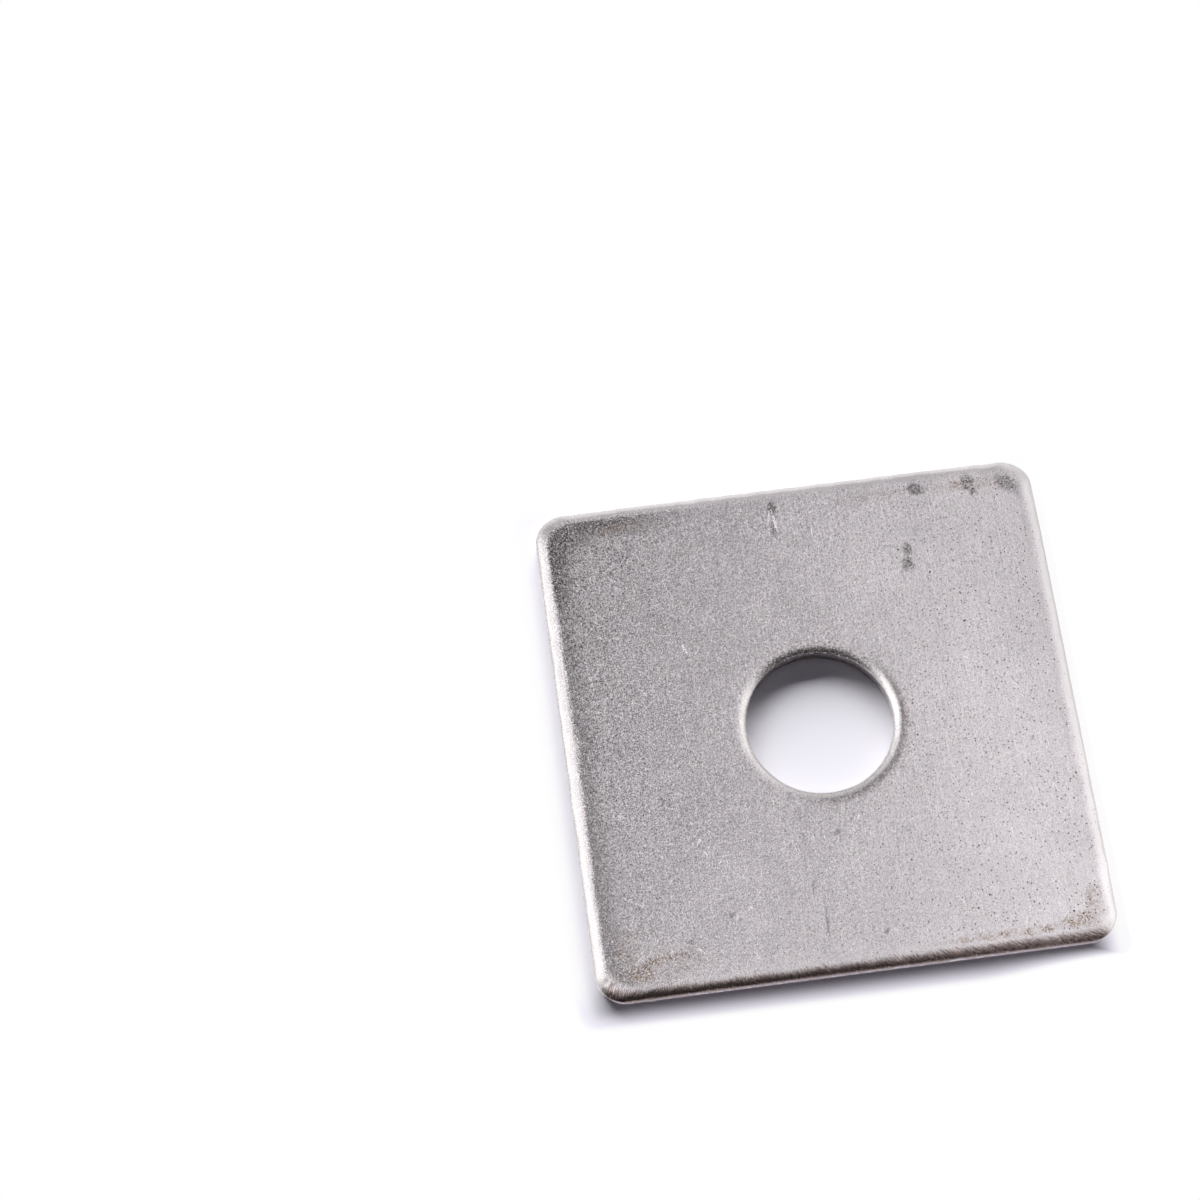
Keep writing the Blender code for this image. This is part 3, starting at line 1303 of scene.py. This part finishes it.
    def relief(self, skin: Surface) -> bpy.types.NodeSocket:
        """Work out the relief, in millimetres: facets, grain and pits, smoother on the rolls.

        Args:
            skin: what is read from the washer.

        Returns:
            The socket of the bumped normal.
        """
        height = skin.graph.facets(skin.slant, self.facet) * (self.facet_tilt / MM)
        height = height + 0.006 * skin.fine + 0.012 * skin.middle - 0.02 * skin.pits
        height = height + 0.01 * skin.streak - 0.03 * skin.marks[MarkKind.SCRATCH]
        height = height * skin.roll.ease(0.1, 0.5, 1.0, 0.25).most(0.8 * skin.in_bore)
        combed = skin.roll.ease(0.1, 0.6) * skin.near_side.ease(0.0, 1.0, 0.008, 0.035)
        height = height + skin.comb * combed + 0.06 * (skin.tear * skin.middle)
        bump = skin.graph.node("ShaderNodeBump", {}, {"Strength": 1.0, "Distance": MM, "Height": height})
        return bump.outputs["Normal"]

    def material(self) -> bpy.types.Material:
        """Build the finish, which is rougher in a smudge and smoother where it is rubbed.

        Returns:
            The material; 1 less a share of the film in the bolt hole, or of grime, is metallic.
        """
        made, graph = new_material("tumbled_stainless")
        skin = Surface(graph, self.grain)
        films = self.films(skin)
        rough = self.roughness + 0.05 * skin.middle - 0.02 * skin.rubbed - 0.06 * skin.band
        rough = rough + 0.08 * skin.marks[MarkKind.SMUDGE] - 0.10 * skin.marks[MarkKind.SCRATCH]
        shader = graph.node(
            "ShaderNodeBsdfPrincipled",
            {},
            {
                "Base Color": self.colour(skin, films),
                "Metallic": 1.0 - (0.8 * films.bore).most(0.5 * films.grime_and_shade),
                "Roughness": rough,
                "Normal": self.relief(skin),
            },
        )
        graph.surface(shader)
        return made


# Studio


class Facing(Enum):
    """Which way a panel looks."""

    WASHER = "at the washer's middle"
    UP = "straight up, lying on the floor"


class Lights(Enum):
    """What a lamp lights."""

    ALL = "everything"
    FLOOR = "matt surfaces alone, so that it shapes shadows and no reflection"
    METAL = "reflections alone"


def toward(bearing: float, elevation: float) -> Vector:
    """Return (sin b * cos e, -cos b * cos e, sin e) for bearing b and elevation e in degrees."""
    turn, rise = math.radians(bearing), math.radians(elevation)
    return Vector((math.sin(turn) * math.cos(rise), -math.cos(turn) * math.cos(rise), math.sin(rise)))


def add_sheet(
    name: str,
    low: Pair,
    high: Pair,
    height: float,
    material: bpy.types.Material,
) -> bpy.types.Object:
    """Add a level rectangle that isn't part of the washer.

    Args:
        name: the object's name.
        low: x and y of its near left corner.
        high: x and y of its far right corner.
        height: its height.
        material: what it is made of.

    Returns:
        The rectangle's object.
    """
    corners = [(low[0], low[1]), (high[0], low[1]), (high[0], high[1]), (low[0], high[1])]
    mesh = bpy.data.meshes.new(name)
    mesh.from_pydata([(x, y, height) for x, y in corners], [], [(0, 1, 2, 3)])
    mesh.materials.append(material)
    made = bpy.data.objects.new(name, mesh)
    bpy.context.scene.collection.objects.link(made)
    return made


def only_reflected(card: bpy.types.Object) -> None:
    """Let only the metal's reflections meet a card."""
    for name in ("visible_camera", "visible_diffuse", "visible_shadow"):
        setattr(card, name, False)


@dataclass(frozen=True)
class Panel:
    """A flat panel beside the washer.

    Attributes:
        name: what it is.
        bearing: degrees round the washer, 0 in front of it and 90 to its right.
        elevation: degrees over the floor.
        distance: from the washer's middle.
        size: its width and height.
        radiance: how bright its face is, or how bright a graded card's lower half is.
        facing: which way it looks.
        lights: what it lights, where it is a lamp.
        top: how bright a graded card is at its top, or None where it is even.
    """

    name: str
    bearing: float
    elevation: float
    distance: float
    size: Pair
    radiance: float
    facing: Facing = Facing.WASHER
    lights: Lights = Lights.ALL
    top: float | None = None

    def add_lamp(self) -> None:
        """Add the panel as a soft lamp; its power is pi * area * radiance."""
        data = bpy.data.lights.new(self.name, "AREA")
        data.shape = "RECTANGLE"
        data.size, data.size_y = self.size
        data.energy = math.pi * self.size[0] * self.size[1] * self.radiance
        direction = toward(self.bearing, self.elevation)
        lamp = bpy.data.objects.new(self.name, data)
        lamp.location = direction * self.distance
        lamp.rotation_mode = "QUATERNION"
        lamp.rotation_quaternion = (-direction).to_track_quat("-Z", "Y")
        lamp.visible_camera = False
        lamp.visible_glossy = self.lights is not Lights.FLOOR
        lamp.visible_diffuse = self.lights is not Lights.METAL
        bpy.context.scene.collection.objects.link(lamp)

    def add_card(self) -> None:
        """Add the panel as a glowing card, even or graded over its upper half."""
        half_x, half_y = self.size[0] / 2.0, self.size[1] / 2.0
        material, graph = new_material(self.name)
        colour: object = (self.radiance, self.radiance, self.radiance, 1.0)
        if self.top is not None:
            _, up, _ = graph.axes(graph.place_on_object())
            colour = graph.grey(up.ease(0.0, half_y, self.radiance, self.top))
        graph.surface(graph.node("ShaderNodeEmission", {}, {"Color": colour}))
        card = add_sheet(self.name, (-half_x, -half_y), (half_x, half_y), 0.0, material)
        direction = toward(self.bearing, self.elevation)
        card.location = direction * self.distance
        card.rotation_mode = "QUATERNION"
        if self.facing is Facing.WASHER:
            card.rotation_quaternion = direction.to_track_quat("Z", "Y")
        only_reflected(card)


@dataclass(frozen=True)
class Ceiling:
    """A level card over the washer with a dark strip, which only reflections meet.

    Attributes:
        height: height over the floor.
        front: y of its front side.
        back: y of its back side.
        strip: x at which the strip begins, is full, ends being full, and ends.
        deepen: y at which the strip is weakest and at which it is full.
        least: radiance where the strip is darkest.
        front_share: strength of the strip at its front.
    """

    height: float = 0.25
    front: float = -0.06
    back: float = 0.23
    strip: tuple[float, float, float, float] = (-0.120, -0.078, -0.012, 0.071)
    deepen: Pair = (0.0, 0.11)
    least: float = 0.18
    front_share: float = 0.3

    def add(self) -> None:
        """Add the card; its radiance is 1 less the strip across x times its strength along y."""
        material, graph = new_material("ceiling_card")
        x, y, _ = graph.axes(graph.place_on_object())
        strip = x.ease(self.strip[0], self.strip[1]) * x.ease(self.strip[3], self.strip[2])
        strength = y.ease(self.deepen[0], self.deepen[1], self.front_share)
        level = 1.0 - (1.0 - self.least) * (strip * strength)
        graph.surface(graph.node("ShaderNodeEmission", {}, {"Color": graph.grey(level)}))
        low, high = (self.strip[0], self.front), (self.strip[3], self.back)
        only_reflected(add_sheet("ceiling_card", low, high, self.height, material))


@dataclass
class Studio:
    """White floor, soft lamps and the cards that shape the metal's reflections.

    Attributes:
        ambient: level of the light that comes from all round.
        shade_tint: colour of that light, which shows in the shade.
        ceiling: the graded card over the washer.
        lamps: the soft lamps.
        cards: the reflection cards.
        floor_tint: colour of the floor in its own shade.
        floor_side: length of the floor's sides.
        floor_drop: how far the floor lies under the washer, so that the two don't touch.
        glow: what is added to the lit floor, so that only deep shade shows on it.
        fade: distances from the washer between which the floor turns to plain white.
        side_fade: how many times quicker that is at the washer's right.
        taper: distances past the washer's right side over which it quickens.
        side_thin: distances past that side over which the shade thins out.
        side_white: how far it thins out there.
        veil_tint: colour of the fading shade, which the lit floor around it lacks.
        veil_end: shares of plain white between which that colour goes.
        veil_near: distance past the near side, inwards, within which it shows.
        mirror_gap: distances inside the outline from which the metal mirrors a plain floor.
    """

    ambient: float = 0.045
    shade_tint: Colour = (0.86, 0.78, 1.08, 1.0)
    ceiling: Ceiling = Ceiling()
    lamps: tuple[Panel, ...] = (
        Panel("key_lamp", -174.0, 28.0, 0.80, (0.95, 0.54), 9.7, lights=Lights.FLOOR),
        Panel("left_lamp", -112.0, 31.0, 0.36, (0.30, 0.37), 0.85, lights=Lights.METAL),
        Panel("right_lamp", 92.0, 26.0, 0.36, (0.40, 0.35), 0.33, lights=Lights.METAL),
    )
    cards: tuple[Panel, ...] = (
        Panel("front_flag", -5.0, 36.0, 0.28, (0.90, 0.42), 0.045, top=0.80),
        Panel("back_card", -162.0, 36.0, 0.50, (0.80, 0.42), 0.58),
        Panel("floor_flag", 0.0, 0.15, 0.185, (0.80, 0.30), 0.01, Facing.UP),
    )
    floor_tint: Colour = (0.945, 0.93, 0.99, 1.0)
    floor_side: float = 8.0
    floor_drop: float = 0.01 * MM
    glow: float = 0.005
    fade: Pair = (-0.15 * MM, 2.4 * MM)
    side_fade: float = 1.9
    taper: Pair = (-14.0 * MM, 0.5 * MM)
    side_thin: Pair = (-3.0 * MM, 0.2 * MM)
    side_white: float = 0.92
    veil_tint: Colour = (0.93, 0.90, 1.0, 1.0)
    veil_end: Pair = (0.7, 1.0)
    veil_near: float = 2.0 * MM
    mirror_gap: Pair = (0.6 * MM, 0.4 * MM)

    def seen(self, graph: Graph) -> Field:
        """Tell the rays that show the white background from those that carry light.

        Args:
            graph: the nodes of the floor or the world.

        Returns:
            1 for what the camera sees, also reflected in the metal or through a clear thing.
        """
        path = graph.node("ShaderNodeLightPath")
        names = ("Is Camera Ray", "Is Glossy Ray", "Is Transmission Ray")
        return reduce(Field.most, [Field(graph, path.outputs[name]) for name in names])

    def add_world(self) -> None:
        """Light all round at the ambient level, and show white."""
        world = bpy.data.worlds.new("white_surround")
        world.use_nodes = True
        graph = Graph(world.node_tree)
        seen = self.seen(graph)
        strength = self.ambient + (1.0 - self.ambient) * seen
        colour = graph.tint(seen, self.shade_tint, WHITE)
        glow = graph.node("ShaderNodeBackground", {}, {"Color": colour, "Strength": strength})
        graph.node("ShaderNodeOutputWorld", {}, {"Surface": glow.outputs[0]})
        bpy.context.scene.world = world

    def white_share(
        self, graph: Graph, spot: bpy.types.NodeSocket, right: Field, half_side: float
    ) -> Field:
        """Work out how far the floor has turned to plain white.

        The distance from the washer's square is the length of what |x| and |y| have beyond
        half the side. Times a factor that grows towards the right, it goes through the fade,
        and the larger of that and the thinning at the right counts.

        Args:
            graph: the floor's nodes.
            spot: place on the floor.
            right: distance past the washer's right side.
            half_side: half the washer's side.

        Returns:
            0 in the shade at the washer's foot, to 1 beyond the fade.
        """
        past = graph.combine("SUBTRACT", graph.combine("ABSOLUTE", spot), (half_side, half_side, 0.0))
        reach = graph.measure("LENGTH", graph.combine("MAXIMUM", past, (0.0, 0.0, 0.0)))
        quicker = right.ease(self.taper[0], self.taper[1], 1.0, self.side_fade)
        thinned = right.ease(self.side_thin[0], self.side_thin[1], 0.0, self.side_white)
        return (reach * quicker).ease(self.fade[0], self.fade[1]).most(thinned)

    def add_floor(self, half_side: float) -> None:
        """Add the floor, which keeps the washer's shadow near it and is plain white beyond.

        Args:
            half_side: half the washer's side, from which the shadow's fade is measured.
        """
        material, graph = new_material("white_floor")
        spot = graph.place_on_object()
        x, y, _ = graph.axes(spot)
        far = self.white_share(graph, spot, x - half_side, half_side)
        path = graph.node("ShaderNodeLightPath")
        gap = half_side - abs(x).most(abs(y))
        mirrored = Field(graph, path.outputs["Is Glossy Ray"]) * gap.ease(*self.mirror_gap)

        seen = self.seen(graph)
        paint = graph.node("ShaderNodeBsdfDiffuse", {}, {"Color": self.floor_tint})
        lift = graph.node("ShaderNodeEmission", {}, {"Color": WHITE, "Strength": seen * self.glow})
        near = graph.node("ShaderNodeAddShader", {}, {0: paint.outputs[0], 1: lift.outputs[0]})
        unveiled = far.ease(*self.veil_end).most((y + half_side).ease(0.0, self.veil_near))
        veil = graph.tint(unveiled, self.veil_tint, WHITE)
        plain = graph.node("ShaderNodeEmission", {}, {"Color": veil, "Strength": seen})
        shaders = {0: far.most(mirrored), 1: near.outputs[0], 2: plain.outputs[0]}
        graph.surface(graph.node("ShaderNodeMixShader", {}, shaders))
        half = self.floor_side / 2.0
        add_sheet("floor", (-half, -half), (half, half), -self.floor_drop, material)

    def build(self, half_side: float) -> None:
        """Set up the whole studio.

        Args:
            half_side: half the side of the washer in its middle.
        """
        self.add_world()
        self.add_floor(half_side)
        for lamp in self.lamps:
            lamp.add_lamp()
        for card in self.cards:
            card.add_card()
        self.ceiling.add()


@dataclass(frozen=True)
class PhotoCamera:
    """The camera, where the photograph was taken from in the washer's frame.

    Attributes:
        aim: the point in the middle of the picture.
        distance: from that point.
        bearing: degrees round it, 0 in front and 90 to the right.
        elevation: degrees over the floor.
        roll: degrees that the camera is turned clockwise.
        focal_pixels: focal length in the photograph's pixels.
        clip: nearest and farthest distance that it sees.
    """

    aim: Triple = (-19.51 * MM, 15.27 * MM, 2.5 * MM)
    distance: float = 305.22 * MM
    bearing: float = -7.359
    elevation: float = 68.535
    roll: float = 0.258
    focal_pixels: float = 3100.0
    clip: Pair = (10.0 * MM, 20.0)

    def build(self) -> None:
        """Add the camera as the scene's own; its lens is focal pixels / image side * film width."""
        back = toward(self.bearing, self.elevation)
        data = bpy.data.cameras.new("photo_camera")
        data.sensor_width = FILM_WIDTH
        data.lens = self.focal_pixels / IMAGE_SIDE * FILM_WIDTH
        data.clip_start, data.clip_end = self.clip
        camera = bpy.data.objects.new("photo_camera", data)
        camera.location = Vector(self.aim) + back * self.distance
        camera.rotation_mode = "QUATERNION"
        turn = Quaternion((0.0, 0.0, 1.0), -math.radians(self.roll))
        camera.rotation_quaternion = (-back).to_track_quat("-Z", "Y") @ turn
        bpy.context.scene.collection.objects.link(camera)
        bpy.context.scene.camera = camera


def main() -> None:
    """Build the washer, its finish, the studio and the camera."""
    logging.basicConfig(level=logging.INFO, format="%(message)s")
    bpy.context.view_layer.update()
    low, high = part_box(CAD_NODE)
    washer = SquareWasher(side=high.x - low.x, thickness=high.z - low.z)
    plate = washer.build()
    plate.data.materials.append(TumbledStainless().material())
    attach(plate, CAD_BODY)
    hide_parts(CAD_NODE)
    LOG.info("%s: %d faces", plate.name, len(plate.data.polygons))

    Studio().build(washer.side / 2.0)
    PhotoCamera().build()
    bpy.context.scene.view_settings.view_transform = "Standard"


if __name__ == "__main__":
    main()
